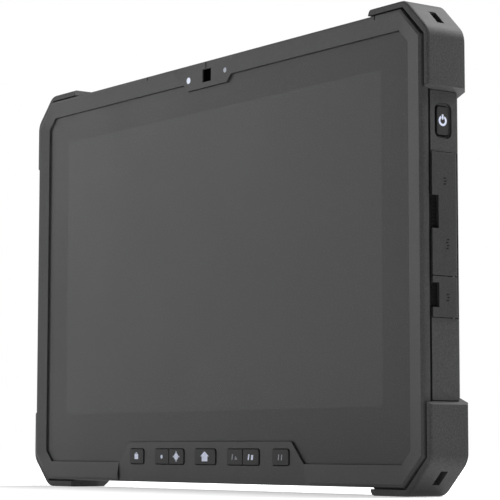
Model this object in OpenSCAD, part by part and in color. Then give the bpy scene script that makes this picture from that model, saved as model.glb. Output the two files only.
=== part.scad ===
// Rugged tablet data collector, standing on its corner bumpers.
// Millimetres, +Z up, screen facing -Y. The origin is on the floor, under the middle of the body.

/* [Body] */
// Width of the body without its bumpers
body_w = 312.4; // [308:0.2:320]
// Height of the body without its bumpers
body_h = 202.2; // [201:0.2:208]
// Depth of the body, from the rim's crest to the back
body_d = 24.4; // [24.4:0.1:26]
// Leg of the chamfer on each corner of the body
corner_cut = 13; // [11:0.5:14]
// Leg of the chamfer along the back's edges
back_cut = 4.3; // [3.5:0.1:4.6]
// Height of the rim's crest above the glass
rim_rise = 1.2; // [0.8:0.1:1.4]
// Width of the open seam between the bezel and the rear housing
seam_gap = 1.2; // [0.8:0.1:1.4]

/* [Display] */
// Width of the lit area
view_w = 256.3; // [250:0.1:258]
// Height of the lit area
view_h = 144.2; // [140:0.1:146]
// Height of the lit area's middle above the floor
view_z = 109.7; // [109:0.1:110]
// Width of the cover glass
glass_w = 293; // [290:0.5:294]
// Lowest edge of the cover glass
glass_low = 13.3; // [13:0.05:13.6]
// Highest edge of the cover glass
glass_high = 196.4; // [196:0.1:196.8]
// Thickness of the cover glass
glass_t = 1; // [0.8:0.1:1]

/* [Bumpers] */
// How far a bumper stands out of the body's sides
bumper_side = 3; // [2.4:0.1:4]
// How far the upper bumpers stand out of the body's top
bumper_high = 3.6; // [3:0.1:4]
// How far the lower bumpers stand out of the body's bottom
bumper_low = 3.5; // [3.3:0.1:3.7]
// Leg of the chamfer on a bumper's corner
bumper_cut = 14.4; // [12.5:0.1:15.5]
// Radius where a bumper's chamfer meets its sides
bumper_r = 8; // [6:0.5:9]
// Length of a bumper along the top or the bottom
arm_x = 35.8; // [34:0.2:37]
// Length of a bumper along the side, measured on the body
arm_z = 35.8; // [35:0.2:37]
// Length of the tether slot in a bumper's corner
slot_l = 8; // [7:0.1:9]
// Width of the tether slot
slot_w = 3.8; // [3.6:0.1:4]

/* [Keys] */
// Width of the home key
home_w = 17.2; // [16:0.1:18]
// Width of every other front key
key_w = 12.3; // [11.8:0.1:12.5]
// Height of the front keys
key_h = 7.2; // [6.8:0.1:7.6]
// Height of the keys' middle above the floor
key_z = 15.95; // [15.8:0.05:16.2]
// How far a key stands out of the keypad's flat
key_rise = 0.5; // [0.3:0.1:0.8]
// Travel of a key
key_travel = 0.7; // [0.4:0.1:0.8]
// Gap between a key and its opening
key_gap = 0.35; // [0.25:0.05:0.4]

/* [Side doors] */
// Lower end of the right side's two doors
doors_low = 74.2; // [72:0.2:75]
// Where the two right doors meet
doors_split = 91.4; // [91:0.1:92]
// Upper end of the right side's two doors
doors_high = 143.4; // [142:0.2:144]
// Lower end of the left side's door
left_low = 99.6; // [97:0.2:101]
// Upper end of the left side's door
left_high = 150; // [148:0.2:150]
// How far a door stands out of the body's side
door_rise = 0.7; // [0.5:0.1:0.9]

/* [Batteries] */
// Width of a battery
battery_w = 115.4; // [110:0.2:116]
// Height of a battery
battery_h = 61.4; // [58:0.2:62]
// Depth of a battery
battery_d = 9.2; // [8:0.1:9.4]
// Distance of a battery's middle from the centre line
battery_x = 66; // [64:0.5:67]
// Height of a battery's middle above the floor
battery_z = 60; // [58:0.5:61]

/* [Mount] */
// Hole spacing of the rear mount across the body
mount_x = 38; // [38:1:50]
// Hole spacing of the rear mount up the body
mount_z = 30.2; // [30:0.1:40]
// Radius of the rear mount's threaded holes
mount_r = 1.65; // [1.6:0.05:2]

/* [Hidden] */
$fn = 32;
eps = 0.01;
half_w = body_w / 2;
z_low = bumper_low;
z_high = z_low + body_h;
y_front = -body_d / 2;
y_back = body_d / 2;
y_face = y_front + rim_rise;
y_bezel = y_face + 2.8;
y_shell = y_bezel + seam_gap;
y_side = y_back - back_cut;
floor_t = 2.4;
y_floor = y_back - floor_t;
wall = 4.8;
far = 60;

rim_round = 1.5;
glass_cut = 5.5;
glass_gap = 0.25;
glass_back = y_face + glass_t;
gasket_t = 0.4;
ledge_y = glass_back + gasket_t;
camera_half = 20;
camera_half_in = 16.5;
camera_drop = 3.5;
camera_half_out = 27.5;
panel_half = 66.4;
panel_half_low = 75.3;
panel_half_out = 81;
panel_rise = 9.95;
camera_win_w = 7;
camera_win_h = 6.3;
camera_z = glass_high + 2.45;
lamp_x = 15.3;
lamp_z = glass_high + 1.9;
lamp_r = 1.55;
sensor_x = 15;
sensor_z = glass_high + 2.6;
sensor_r = 1.2;
mic_xs = [-50, 126.4];
mic_z = z_high - 1.2;
mic_w = 0.8;
mic_h = 2;
mic_deep = 1.5;
lcd_margin = 4;
lcd_w = view_w + 2 * lcd_margin;
lcd_h = view_h + 2 * lcd_margin;
lcd_t = 0.8;
backlight_t = 2;

arm_slant = 0.4;
arm_step = 1.8;
rubber_in = 2.2;
rubber_cut = 17;
flange_in = 9;
flange_cut = 14;
bumper_front = y_front + 1.2;
bumper_edge = 1.4;
bumper_back_cut = 2.4;
bumper_gap = 0.6;
end_gap = 0.5;
slot_y = 0.2;
slot_shift = 0.6;
slot_deep = 7;

// Middle of each front key, from the left, and its width
pair_gap = 0.35;
pair_x = 30.1;
outer_x = 58.6;
key_xs = [-outer_x, -pair_x - (key_w + pair_gap) / 2, -pair_x + (key_w + pair_gap) / 2, 0,
    pair_x - (key_w + pair_gap) / 2, pair_x + (key_w + pair_gap) / 2, outer_x];
key_back = y_bezel - key_travel - 0.1;

button_y = 0.15;
button_z = 156.9;
button_w = 6.3;
button_h = 11.9;
button_face = half_w - 0.3;
button_dish = 1.1;
button_gap = 0.6;
button_r = 1.2;
button_step = 1.6;
key_r = 1.1;
key_r_in = 0.3;

hinge_x = half_w - 1;
hinge_y = 6;
hinge_r = 1 + door_rise;
pin_r = 0.6;
pin_run = 0.05;
pin_end = 2.2;
door_gap = 0.3;
door_split_gap = 0.2;
door_in = half_w - 1.5;
step_x = half_w - 1.8;
bay_x = half_w - 10;
bay_y0 = -5.2;
bay_y1 = 2.6;
bay_end = 3.2;
bay_wall = 1.8;
bay_lip = 1.4;
bay_rib = 1.3;
port_x = bay_x + 1.2;

battery_gap = 0.3;
battery_y0 = y_back - 0.1 - battery_d;
tray_t = 1.8;
latch_w = 18;
latch_h = 8.6;
latch_z = battery_z + battery_h / 2 + 11;
latch_travel = 8;
latch_y0 = y_back - 2.2;
grip_pitch = 2;

screw_in = 7.2;
screw_r = 1.4;
screw_head_r = 2.4;
boss_r = 3.2;
screw_xs = [-105, -47.5, 47.5, 105];
// Side and height of the screws along the body's sides
side_screws = [[1, 58], [1, 146], [-1, 58], [-1, 158]];
bumper_screw_in = 5.6;
bumper_screw_r = 1.25;
bumper_head_r = 2.4;
bumper_screw_x = half_w - 28;
bumper_screw_z = 26;

mount_at = 148;
insert_r = 3;
insert_l = 6;
rear_camera_x = -70;
rear_camera_z = 178;
rear_camera_r = 5;
flash_x = rear_camera_x + 14;
flash_r = 2.2;
speaker_x = 112;
speaker_z = 176;
speaker_slots = 6;
speaker_pitch = 3;
dock_half = 22;
dock_y0 = -1;
dock_y1 = 5;

// ---- Outlines in the X-Z plane ----

// A 45 degree cut's leg gets shorter by this much for each millimetre the outline moves in
cut_shrink = 2 - sqrt(2);

// A rectangle about x = 0 with its corners cut at 45 degrees
function cut_rect(hw, z0, z1, cut) = [
    [-hw + cut, z0], [hw - cut, z0], [hw, z0 + cut], [hw, z1 - cut],
    [hw - cut, z1], [-hw + cut, z1], [-hw, z1 - cut], [-hw, z0 + cut]];

// The body's outline, moved in by a margin
function body_line(m) =
    cut_rect(half_w - m, z_low + m, z_high - m, corner_cut - cut_shrink * m);

// Cut corners whose ends are rounded; quarter 0 is at the lower right
arc_steps = 4;
function soft_rect(hw, z0, z1, cut, r) = [
    for (quarter = [0:3], half = [0:1], i = [0:arc_steps])
        let (
            sx = quarter < 2 ? 1 : -1,
            sz = quarter == 1 || quarter == 2 ? 1 : -1,
            z_edge = sz > 0 ? z1 : z0,
            by_side = (quarter + half) % 2 == 1,
            t = cut + r * tan(22.5),
            a = 90 * quarter - 90 + 45 * half + 45 * i / arc_steps,
            cx = sx * (hw - (by_side ? r : t)),
            cz = z_edge - sz * (by_side ? t : r)
        ) [cx + r * cos(a), cz + r * sin(a)]];

// A box about the origin with rounded corners of one radius at each end
function soft_box(hw, hh, r_left, r_right) = [
    for (quarter = [0:3], i = [0:arc_steps])
        let (
            sx = quarter == 0 || quarter == 3 ? 1 : -1,
            sz = quarter < 2 ? 1 : -1,
            r = sx > 0 ? r_right : r_left,
            a = 90 * quarter + 90 * i / arc_steps
        ) [sx * (hw - r) + r * cos(a), sz * (hh - r) + r * sin(a)]];

// The bumpers' outline with the given stand-out at its ends, moved in by a margin
function bumper_line(end, m) = soft_rect(half_w + bumper_side - m, z_low - end + m,
    z_high + end - m, bumper_cut - cut_shrink * m, bumper_r - m);

// The cover glass, with its camera and keypad notches, drawn in by a margin
function glass_line(m) = [
    [-glass_w / 2 + glass_cut, glass_low + m], [-panel_half_low - m, glass_low + m],
    [-panel_half - m, glass_low + panel_rise + m], [panel_half + m, glass_low + panel_rise + m],
    [panel_half_low + m, glass_low + m], [glass_w / 2 - glass_cut, glass_low + m],
    [glass_w / 2 - m, glass_low + glass_cut], [glass_w / 2 - m, glass_high - glass_cut],
    [glass_w / 2 - glass_cut, glass_high - m], [camera_half + m, glass_high - m],
    [camera_half_in + m, glass_high - camera_drop - m],
    [-camera_half_in - m, glass_high - camera_drop - m], [-camera_half - m, glass_high - m],
    [-glass_w / 2 + glass_cut, glass_high - m], [-glass_w / 2 + m, glass_high - glass_cut],
    [-glass_w / 2 + m, glass_low + glass_cut]];

// Where a bumper lies in the upper right corner; grow makes its arms longer by that much
function corner_zone(grow) =
    let (
        x = half_w - arm_x - grow,
        z = z_high - arm_z - grow,
        lean = far * arm_slant
    ) [[x - arm_step, z - arm_step], [half_w - back_cut, z - arm_step], [half_w, z],
        [half_w + far, z + lean], [half_w + far, z_high + far], [x + lean, z_high + far],
        [x, z_high], [x - arm_step, z_high - back_cut]];

// ---- Building blocks ----

// A plate between two depths, from an outline in X-Z
module plate(y0, y1, line) {
    translate([0, y1, 0])
        rotate([90, 0, 0])
            linear_extrude(y1 - y0)
                polygon(line);
}

// A plate between two places across the body, from an outline in Y-Z
module side_plate(x0, x1, line) {
    translate([x0, 0, 0])
        rotate([90, 0, 90])
            linear_extrude(x1 - x0)
                polygon(line);
}

// A block from one corner to the opposite one
module block(from, to) {
    translate(from)
        cube(to - from);
}

// A block about x = 0
module middle_block(hw, y0, y1, z0, z1) {
    block([-hw, y0, z0], [hw, y1, z1]);
}

// A round bar along Y
module y_rod(x, z, r, y0, y1) {
    translate([x, y1, z])
        rotate([90, 0, 0])
            cylinder(r = r, h = y1 - y0);
}

// A solid through outlines of equal length, each given with its depth
module loft(rings) {
    n = len(rings[0][1]);
    last = len(rings) - 1;
    points = [for (ring = rings, p = ring[1]) [p[0], ring[0], p[1]]];
    sides = [for (k = [0:last - 1], j = [0:n - 1])
        [k * n + j, k * n + (j + 1) % n, (k + 1) * n + (j + 1) % n, (k + 1) * n + j]];
    front = [for (j = [n - 1:-1:0]) j];
    back = [for (j = [0:n - 1]) last * n + j];
    polyhedron(points, concat([front], sides, [back]));
}

// Mirrors the right side onto the left one when side is -1
module on_side(side) {
    mirror([side < 0 ? 1 : 0, 0, 0])
        children();
}

// Moves the upper right corner to one of the four corners
module at_corner(sx, sz) {
    translate([0, 0, sz < 0 ? z_low + z_high : 0])
        mirror([0, 0, sz < 0 ? 1 : 0])
            on_side(sx)
                children();
}

// ---- Bezel and screen ----

// A flat at the glass's level, whose side facets widen from one height to another
module face_flat(half, half_out, z_in, z_out) {
    over = 1;
    spread = half + (half_out - half) * (rim_rise + over) / rim_rise;
    low = min(z_in, z_out);
    high = max(z_in, z_out);
    low_half = z_in < z_out ? half : spread;
    high_half = z_in < z_out ? spread : half;
    loft([[y_front - over, [[-low_half, low], [low_half, low], [high_half, high],
            [-high_half, high]]],
        [y_face, [[-half, low], [half, low], [half, high], [-half, high]]]]);
}

// The hollow in the bezel's front: slopes to the glass, and the two flats
module front_dish() {
    loft([[y_front - eps, body_line(rim_round)],
        [y_face, cut_rect(glass_w / 2, glass_low, glass_high, glass_cut)]]);
    face_flat(camera_half, camera_half_out, glass_high, z_high + 1);
    face_flat(panel_half_low, panel_half_out, glass_low, z_low - 1);
}

module key_opening(x, w) {
    r = key_r + key_gap;
    translate([x, 0, key_z])
        plate(y_front, y_bezel + eps, soft_box(w / 2 + key_gap, key_h / 2 + key_gap, r, r));
}

module front_bezel() {
    color([0.2, 0.2, 0.21])
        difference() {
            loft([[y_front, body_line(rim_round)],
                [y_front + 0.29 * rim_round, body_line(0.29 * rim_round)],
                [y_front + rim_round, body_line(0)], [y_bezel, body_line(0)]]);
            front_dish();
            plate(y_front - 1, ledge_y, glass_line(-glass_gap));
            middle_block(lcd_w / 2 + 0.5, y_front, y_bezel + eps, view_z - lcd_h / 2 - 0.5,
                view_z + lcd_h / 2 + 0.5);
            key_opening(-outer_x, key_w);
            key_opening(-pair_x, 2 * key_w + pair_gap);
            key_opening(0, home_w);
            key_opening(pair_x, 2 * key_w + pair_gap);
            key_opening(outer_x, key_w);
            block([-camera_win_w / 2, y_front, camera_z - camera_win_h / 2],
                [camera_win_w / 2, y_bezel + eps, camera_z + camera_win_h / 2]);
            block([-camera_win_w / 6, y_front, camera_z],
                [camera_win_w / 3, y_face + 0.25, z_high + 1]);
            y_rod(-lamp_x, lamp_z, lamp_r, y_front, y_bezel + eps);
            y_rod(sensor_x, sensor_z, sensor_r, y_front, y_bezel + eps);
            for (x = mic_xs)
                block([x - mic_w / 2, y_front - 1, mic_z - mic_h / 2],
                    [x + mic_w / 2, y_front + mic_deep, mic_z + mic_h / 2]);
            housing_screw_holes(y_face + 1, y_bezel + eps);
        }
}

module touch_glass() {
    color([0.16, 0.16, 0.17])
        plate(y_face, glass_back, glass_line(0));
}

module screen_gasket() {
    color([0.05, 0.05, 0.05])
        difference() {
            plate(glass_back, ledge_y, glass_line(0.6));
            middle_block(lcd_w / 2 + 0.5, glass_back - 1, ledge_y + 1, view_z - lcd_h / 2 - 0.5,
                view_z + lcd_h / 2 + 0.5);
        }
}

module lcd_panel() {
    color([0.22, 0.22, 0.23])
        middle_block(lcd_w / 2, glass_back, glass_back + lcd_t, view_z - lcd_h / 2,
            view_z + lcd_h / 2);
}

module backlight_unit() {
    color([0.75, 0.76, 0.78])
        middle_block(lcd_w / 2, glass_back + lcd_t, glass_back + lcd_t + backlight_t,
            view_z - lcd_h / 2, view_z + lcd_h / 2);
}

// ---- Middle ----

frame_y0 = glass_back + lcd_t + backlight_t;
frame_y1 = frame_y0 + 1.2;
frame_half = half_w - 14;

module mid_frame() {
    window = 22;
    pitch = 34;
    color([0.62, 0.63, 0.65])
        difference() {
            plate(frame_y0, frame_y1, cut_rect(frame_half, z_low + 11, z_high - 11, 8));
            for (i = [-3:3])
                block([i * pitch - window / 2, frame_y0 - 1, 34],
                    [i * pitch + window / 2, frame_y1 + 1, 84]);
            middle_block(panel_half + 1, frame_y0 - 1, frame_y1 + 1, z_low, z_low + 19.5);
        }
}

module perimeter_seal() {
    color([0.03, 0.03, 0.03])
        difference() {
            plate(y_bezel, y_shell, body_line(0.4));
            plate(y_bezel - 1, y_shell + 1, body_line(2.2));
        }
}

// ---- Rear housing ----

// What the bumpers take out of the housing's corners
module corner_recess(sx, sz) {
    at_corner(sx, sz)
        difference() {
            plate(y_shell - 1, y_back + 1, corner_zone(end_gap));
            plate(y_shell - 2, y_floor, recess_line());
            plate(y_floor - eps, y_back + 2, flange_line());
        }
}

function recess_line() =
    cut_rect(half_w - rubber_in, z_low + rubber_in, z_high - rubber_in, rubber_cut);
function flange_line() =
    cut_rect(half_w - flange_in, z_low + flange_in, z_high - flange_in, flange_cut);
function cavity_line() = cut_rect(half_w - wall, z_low + wall, z_high - wall, rubber_cut + 2);

// Places its children at every housing screw
module each_housing_screw() {
    for (x = screw_xs, z = [z_low + screw_in, z_high - screw_in])
        translate([x, 0, z])
            children();
    for (place = side_screws)
        translate([place[0] * (half_w - screw_in), 0, place[1]])
            children();
}

module housing_screw_holes(y0, y1) {
    each_housing_screw()
        y_rod(0, 0, screw_r, y0, y1);
}

// Places its children at both screws of every bumper
module each_bumper_screw() {
    for (sx = [-1, 1], sz = [-1, 1])
        at_corner(sx, sz) {
            translate([bumper_screw_x, 0, z_high - bumper_screw_in])
                children();
            translate([half_w - bumper_screw_in, 0, z_high - bumper_screw_z])
                children();
        }
}

// The outer shape of one side's port bay
module bay_block(side, z0, z1) {
    on_side(side)
        block([bay_x - bay_wall, y_shell, z0 + bay_lip], [step_x, y_side - bay_rib, z1 - bay_lip]);
}

module bay_hollow(side, z0, z1) {
    on_side(side)
        block([bay_x, bay_y0, z0 + bay_end], [half_w + 1, bay_y1, z1 - bay_end]);
}

module door_recess(side, z0, z1) {
    on_side(side) {
        block([step_x, y_shell - 1, z0 - door_gap], [half_w + 1, y_side + 0.5, z1 + door_gap]);
        block([hinge_x - hinge_r - 0.4, hinge_y - hinge_r - 0.4, z0 - door_gap],
            [half_w + 1, y_side + 0.5, z1 + door_gap]);
        translate([hinge_x, hinge_y, z0 - pin_end])
            cylinder(r = pin_r, h = z1 - z0 + 2 * pin_end);
    }
}

module battery_tray(x, grow, y0) {
    block([x - battery_w / 2 - grow, y0, battery_z - battery_h / 2 - grow],
        [x + battery_w / 2 + grow, y_back + (grow > battery_gap ? -1 : 1),
        battery_z + battery_h / 2 + grow]);
}

module latch_pocket(x) {
    block([x - latch_w / 2 - 0.4, latch_y0 - 0.1, latch_z - latch_h / 2 - 0.3],
        [x + latch_w / 2 + latch_travel + 0.4, y_back + 1, latch_z + latch_h / 2 + 0.3]);
    block([x - 3.4, latch_y0 - 5, latch_z - 1.8], [x + 3.4 + latch_travel, y_back, latch_z + 1.8]);
}

module latch_backing(x) {
    block([x - latch_w / 2 - 3, latch_y0 - 2.6, latch_z - latch_h / 2 - 2.5],
        [x + latch_w / 2 + latch_travel + 3, y_floor + eps, latch_z + latch_h / 2 + 2.5]);
}

module speaker_slots_cut(side) {
    half_h = 0.6;
    half_l = 9;
    for (i = [0:speaker_slots - 1])
        let (z = speaker_z + (i - (speaker_slots - 1) / 2) * speaker_pitch)
            on_side(side)
                block([speaker_x - half_l, y_floor - 1, z - half_h],
                    [speaker_x + half_l, y_back + 1, z + half_h]);
}

// Places its children at the four holes of the rear mount
module each_mount_hole() {
    for (sx = [-1, 1], sz = [-1, 1])
        translate([sx * mount_x / 2, 0, mount_at + sz * mount_z / 2])
            children();
}

// The hollows that the doors, their pins, the bumpers and the power button make
module housing_cuts() {
    for (sx = [-1, 1], sz = [-1, 1])
        corner_recess(sx, sz);
    door_recess(1, doors_low, doors_high);
    door_recess(-1, left_low, left_high);
    each_housing_screw()
        y_rod(0, 0, screw_r, y_shell - 1, y_back + 1);
    each_bumper_screw()
        y_rod(0, 0, bumper_screw_r, 3, y_back);
    translate([0, button_y, button_z]) {
        side_plate(half_w - button_dish, half_w + 1, soft_box(button_w / 2 + button_step,
            button_h / 2 + button_step, button_r + button_step, button_r + button_step));
        side_plate(half_w - wall - 1, half_w + 1, soft_box(button_w / 2 + button_gap,
            button_h / 2 + button_gap, button_r + button_gap, button_r + button_gap));
    }
}

// Makes room for a port bay in the side frame, and leaves a rib behind it
module bay_window(side, z0, z1) {
    on_side(side)
        block([bay_x - bay_wall - 1, y_shell - 1, z0 + bay_lip],
            [half_w + 1, y_side - bay_rib, z1 - bay_lip]);
}

// The walls around the body, open to the front and the back
module side_frame() {
    color([0.22, 0.22, 0.23])
        difference() {
            union() {
                difference() {
                    plate(y_shell, y_side, body_line(0));
                    plate(y_shell - 1, y_side + 1, cavity_line());
                }
                each_housing_screw()
                    y_rod(0, 0, boss_r, y_shell, y_side);
                each_bumper_screw()
                    y_rod(0, 0, boss_r, 2, y_side);
            }
            housing_cuts();
            bay_window(1, doors_low, doors_high);
            bay_window(-1, left_low, left_high);
            middle_block(dock_half + 1.5, dock_y0 - 1.5, dock_y1 + 1.5, z_low - 1, z_low + 1.2);
            middle_block(dock_half, dock_y0, dock_y1, z_low - 1, z_low + wall + 1);
        }
}

// The back, with the battery trays, the latch beds and the mount's bosses
module rear_housing() {
    color([0.22, 0.22, 0.23])
        difference() {
            union() {
                difference() {
                    loft([[y_side, body_line(0)], [y_back, body_line(back_cut)]]);
                    plate(y_side - 1, y_floor, cavity_line());
                }
                for (side = [-1, 1]) {
                    battery_tray(side * battery_x, battery_gap + tray_t, battery_y0 - 0.1 - tray_t);
                    on_side(side)
                        latch_backing(battery_x);
                }
                each_housing_screw()
                    y_rod(0, 0, boss_r, y_side, y_floor + eps);
                each_bumper_screw()
                    y_rod(0, 0, boss_r, y_side, y_floor);
                each_mount_hole()
                    y_rod(0, 0, insert_r + 1.6, y_back - insert_l - 1.6, y_floor + eps);
            }
            housing_cuts();
            for (side = [-1, 1]) {
                battery_tray(side * battery_x, battery_gap, battery_y0 - 0.1);
                contact_block(side * battery_x);
                on_side(side)
                    latch_pocket(battery_x);
                speaker_slots_cut(side);
            }
            each_housing_screw()
                y_rod(0, 0, screw_head_r, y_back - 1.3, y_back + 1);
            each_mount_hole()
                y_rod(0, 0, insert_r, y_back - insert_l, y_back + 1);
            y_rod(rear_camera_x, rear_camera_z, rear_camera_r, y_floor - 1, y_back + 1);
            y_rod(flash_x, rear_camera_z, flash_r, y_floor - 1, y_back + 1);
        }
}

module right_port_bay() {
    color([0.2, 0.2, 0.21])
        difference() {
            bay_block(1, doors_low, doors_high);
            bay_hollow(1, doors_low, doors_split);
            bay_hollow(1, doors_split, doors_high);
            door_recess(1, doors_low, doors_high);
            port_holes();
        }
}

module left_port_bay() {
    color([0.2, 0.2, 0.21])
        difference() {
            bay_block(-1, left_low, left_high);
            bay_hollow(-1, left_low, left_high);
            door_recess(-1, left_low, left_high);
            port_holes();
        }
}

// ---- Bumpers and screws ----

module bumper(sx, sz) {
    end = sz > 0 ? bumper_high : bumper_low;
    edge_part = 0.29 * bumper_edge;
    color([0.2, 0.2, 0.21])
        difference() {
            at_corner(sx, sz)
                difference() {
                    intersection() {
                        loft([[bumper_front, bumper_line(end, bumper_edge)],
                            [bumper_front + edge_part, bumper_line(end, edge_part)],
                            [bumper_front + bumper_edge, bumper_line(end, 0)],
                            [y_back - bumper_back_cut, bumper_line(end, 0)],
                            [y_back, bumper_line(end, bumper_back_cut)]]);
                        plate(y_front - 1, y_back + 1, corner_zone(0));
                    }
                    plate(y_front - 1, y_bezel - 0.6, body_line(-bumper_gap));
                    plate(y_front - 1, y_shell, body_line(0));
                    plate(y_front - 2, y_floor, recess_line());
                    plate(y_floor - eps, y_back + 2, flange_line());
                    tether_slot(end);
                }
            each_bumper_screw()
                y_rod(0, 0, bumper_head_r, y_back - 1.6, y_back + 1);
            each_bumper_screw()
                y_rod(0, 0, bumper_screw_r, y_floor - 1, y_back);
        }
}

// The slot in the upper right corner, square to the bumper's chamfer
module tether_slot(end) {
    right = half_w + bumper_side;
    top = z_high + end;
    cx = right - bumper_cut / 2 + slot_shift / sqrt(2);
    cz = top - bumper_cut / 2 - slot_shift / sqrt(2);
    translate([cx, slot_y, cz])
        rotate([0, 45, 0])
            translate([-slot_l / 2, -slot_w / 2, -slot_deep])
                cube([slot_l, slot_w, slot_deep + far / 4]);
}

module bumper_top_left() {
    bumper(-1, 1);
}

module bumper_top_right() {
    bumper(1, 1);
}

module bumper_bottom_left() {
    bumper(-1, -1);
}

module bumper_bottom_right() {
    bumper(1, -1);
}

// A socket-head screw along Y, with its head at the back
module screw(r, head_r, head_t, y0, y1) {
    difference() {
        union() {
            y_rod(0, 0, r, y0, y1);
            y_rod(0, 0, head_r, y1 - head_t, y1);
        }
        translate([0, y1 + eps, 0])
            rotate([90, 0, 0])
                cylinder(r = head_r / 2, h = head_t / 2, $fn = 6);
    }
}

module bumper_screws() {
    color([0.1, 0.1, 0.1])
        each_bumper_screw()
            screw(bumper_screw_r, bumper_head_r, 1.4, 4, y_back - 0.2);
}

module housing_screws() {
    color([0.1, 0.1, 0.1])
        each_housing_screw()
            screw(screw_r, screw_head_r, 1.2, y_face + 1.2, y_back - 0.1);
}

// ---- Keys ----

// A key cap, carried by the rubber sheet behind it
module key(i) {
    w = i == 3 ? home_w : key_w;
    r_left = i == 2 || i == 5 ? key_r_in : key_r;
    r_right = i == 1 || i == 4 ? key_r_in : key_r;
    color([0.24, 0.24, 0.25])
        translate([key_xs[i], 0, key_z])
            plate(y_face - key_rise, key_back, soft_box(w / 2, key_h / 2, r_left, r_right));
}

module function_key_1() {
    key(0);
}

module volume_down_key() {
    key(1);
}

module volume_up_key() {
    key(2);
}

module home_key() {
    key(3);
}

module function_key_2() {
    key(4);
}

module function_key_3() {
    key(5);
}

module function_key_4() {
    key(6);
}

membrane_y0 = y_bezel;
membrane_t = 0.5;
pad_low = z_low + 9;
pad_high = z_low + 18.5;

// A rubber sheet under the keys, on the keypad's board
module keypad_membrane() {
    color([0.3, 0.3, 0.3])
        middle_block(panel_half, membrane_y0, membrane_y0 + membrane_t, pad_low, pad_high);
}

module keypad_board() {
    color([0.05, 0.3, 0.15])
        middle_block(panel_half, membrane_y0 + membrane_t, y_shell, pad_low, pad_high);
}

// ---- Power button ----

module power_button() {
    foot = 0.8;
    foot_r = button_r + foot;
    color([0.24, 0.24, 0.25])
        translate([0, button_y, button_z]) {
            side_plate(half_w - wall - 0.2, button_face,
                soft_box(button_w / 2, button_h / 2, button_r, button_r));
            side_plate(half_w - wall - 1.2, half_w - wall - 0.2,
                soft_box(button_w / 2 + foot, button_h / 2 + foot, foot_r, foot_r));
        }
}

module power_switch() {
    x1 = half_w - wall - 2.2;
    color([0.05, 0.3, 0.15]) {
        block([x1 - 2.6, button_y - 4, button_z - 6.5], [x1 - 1.2, button_y + 4, button_z + 6.5]);
        translate([x1 - 1.2, button_y, button_z])
            rotate([0, 90, 0])
                cylinder(r = 2.5, h = 1.2);
    }
}

// ---- Camera and lamps on the front ----

module front_camera() {
    y0 = y_face + 1.9;
    size = 2.2;
    color([0.05, 0.05, 0.06]) {
        block([-size, y0 + 0.6, camera_z - size], [size, y_shell - 0.1, camera_z + size]);
        y_rod(0, camera_z, 1.8, y0, y0 + 0.6 + eps);
    }
}

module camera_window() {
    color([0.02, 0.02, 0.02])
        block([-camera_win_w / 2, y_face + 0.9, camera_z - camera_win_h / 2],
            [camera_win_w / 2, y_face + 1.9, camera_z + camera_win_h / 2]);
}

module status_light() {
    color([0.9, 0.93, 1])
        y_rod(-lamp_x, lamp_z, lamp_r, y_face - 0.05, y_bezel);
}

module light_sensor() {
    color([0.75, 0.78, 0.85])
        y_rod(sensor_x, sensor_z, sensor_r, y_face - 0.05, y_bezel);
}

// ---- Side doors ----

// A door on the right side that turns about a pin at its rear edge
module door(side, z0, z1, notch_z0, notch_z1) {
    notch_y = 3.5;
    on_side(side)
        difference() {
            union() {
                block([door_in, y_shell + 0.1, z0], [half_w + door_rise, hinge_y, z1]);
                translate([hinge_x, hinge_y, z0])
                    cylinder(r = hinge_r, h = z1 - z0);
            }
            translate([hinge_x, hinge_y, z0 - 1])
                cylinder(r = pin_r + pin_run, h = z1 - z0 + 2);
            block([door_in + 0.6, y_shell - 1, notch_z0],
                [half_w + 2, y_shell + 0.1 + notch_y, notch_z1]);
        }
}

// The rubber rim inside a door, which goes into the bay
module door_seal(side, z0, z1) {
    gap = 0.3;
    rim = 1.2;
    on_side(side)
        difference() {
            block([door_in - 1.5, bay_y0 + gap, z0 + bay_end + gap],
                [door_in, bay_y1 - gap, z1 - bay_end - gap]);
            block([door_in - 2, bay_y0 + gap + rim, z0 + bay_end + gap + rim],
                [door_in - 0.5, bay_y1 - gap - rim, z1 - bay_end - gap - rim]);
        }
}

module door_pin(side, z0, z1) {
    on_side(side)
        translate([hinge_x, hinge_y, z0 - pin_end])
            cylinder(r = pin_r, h = z1 - z0 + 2 * pin_end);
}

long_notch_l = 14;
long_notch_z = (doors_split + doors_high) / 2 + 0.8;
short_notch_l = 10.3;
short_notch_z = (doors_low + doors_split) / 2 + 0.6;
left_mid = (left_low + left_high) / 2;

module long_port_door() {
    color([0.22, 0.22, 0.23])
        door(1, doors_split + door_split_gap, doors_high, long_notch_z - long_notch_l / 2,
            long_notch_z + long_notch_l / 2);
}

module long_door_seal() {
    color([0.04, 0.04, 0.04])
        door_seal(1, doors_split, doors_high);
}

module short_port_door() {
    color([0.22, 0.22, 0.23])
        door(1, doors_low, doors_split - door_split_gap, short_notch_z - short_notch_l / 2,
            short_notch_z + short_notch_l / 2);
}

module short_door_seal() {
    color([0.04, 0.04, 0.04])
        door_seal(1, doors_low, doors_split);
}

module right_door_pin() {
    color([0.6, 0.6, 0.62])
        door_pin(1, doors_low, doors_high);
}

module left_port_door() {
    color([0.22, 0.22, 0.23])
        door(-1, left_low, left_high, left_mid - long_notch_l / 2, left_mid + long_notch_l / 2);
}

module left_door_seal() {
    color([0.04, 0.04, 0.04])
        door_seal(-1, left_low, left_high);
}

module left_door_pin() {
    color([0.6, 0.6, 0.62])
        door_pin(-1, left_low, left_high);
}

// ---- Ports ----

port_y = (bay_y0 + bay_y1) / 2;
port_inner = bay_x - 10;
usb_h = 13.1;
usb_w = 5.7;
usb_zs = [doors_split + 11.5, doors_split + 27];
video_z = doors_high - 11;
jack_z = (doors_low + doors_split) / 2;
jack_r = 3;
inlet_z = left_low + 10;
card_z = left_low + 30;

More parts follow.
